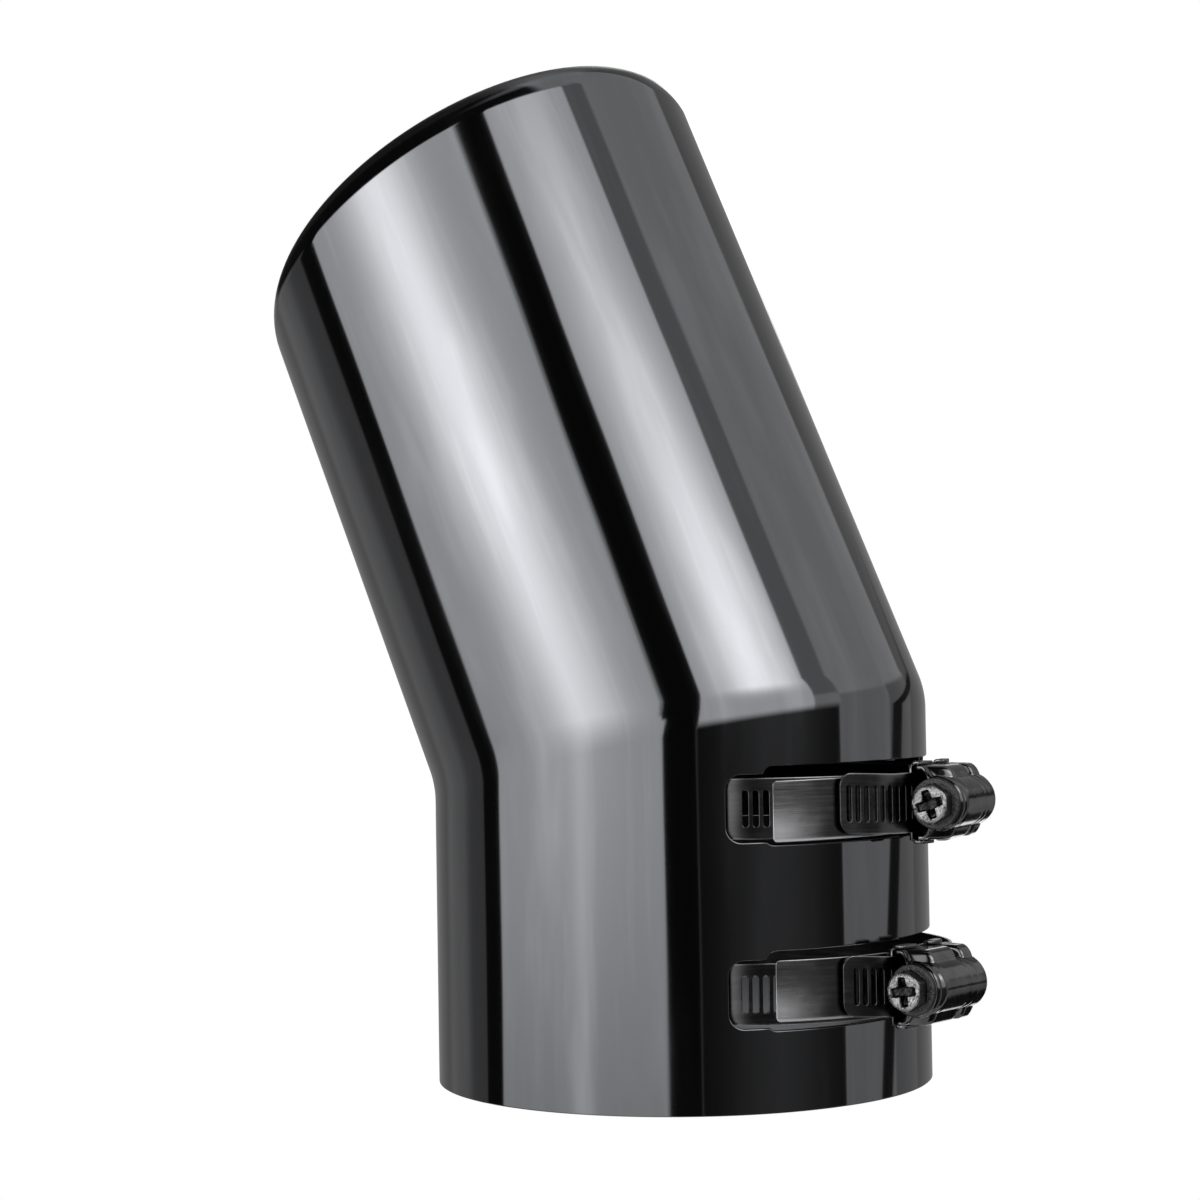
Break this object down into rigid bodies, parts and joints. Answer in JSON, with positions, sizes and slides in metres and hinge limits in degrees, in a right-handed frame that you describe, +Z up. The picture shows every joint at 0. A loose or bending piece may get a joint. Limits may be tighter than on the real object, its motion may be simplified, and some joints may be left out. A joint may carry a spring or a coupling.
{
  "type": "exhaust tip",
  "caption": "Angled round exhaust tip with a rolled slant-cut mouth, held on a tailpipe by worm-drive band clamps set in windows of the inlet wall.",
  "frame": {"origin": "centre of the inlet rim, which the tip stands on", "axes": "+Z up the inlet axis, -X towards the side that the tube leans to, +X out through the middle of the clamp windows"},
  "size_m": [0.1596, 0.1016, 0.2106],
  "materials": {
    "tube_chrome": "polished black chrome, mirror gloss",
    "clamp_steel": "gloss black plated spring steel strip",
    "screw_steel": "black plated steel, slightly rough head"
  },
  "bodies": {
    "tip": {"tip_shell": "tube_chrome"},
    "lower_clamp": {"lower_clamp_band": "clamp_steel", "lower_clamp_hood": "clamp_steel", "lower_clamp_saddle": "clamp_steel"},
    "upper_clamp": {"upper_clamp_band": "clamp_steel", "upper_clamp_hood": "clamp_steel", "upper_clamp_saddle": "clamp_steel"},
    "lower_screw": {"lower_worm_screw": "screw_steel"},
    "upper_screw": {"upper_worm_screw": "screw_steel"}
  },
  "joints": [
    {"name": "lower_clamp_shift", "type": "slide", "parent": "tip", "child": "lower_clamp", "axis": [1, 0, 0], "range_m": [-0.00445, 0]},
    {"name": "upper_clamp_shift", "type": "slide", "parent": "tip", "child": "upper_clamp", "axis": [1, 0, 0], "range_m": [-0.00445, 0]},
    {"name": "lower_screw_turn", "type": "hinge", "parent": "lower_clamp", "child": "lower_screw", "pos_m": [0.06123, -0.00244, 0.0224], "axis": [-0.0541, -0.9985, 0], "continuous": true},
    {"name": "upper_screw_turn", "type": "hinge", "parent": "upper_clamp", "child": "upper_screw", "pos_m": [0.06099, 0.00526, 0.0574], "axis": [0.1167, -0.9932, 0], "continuous": true}
  ]
}
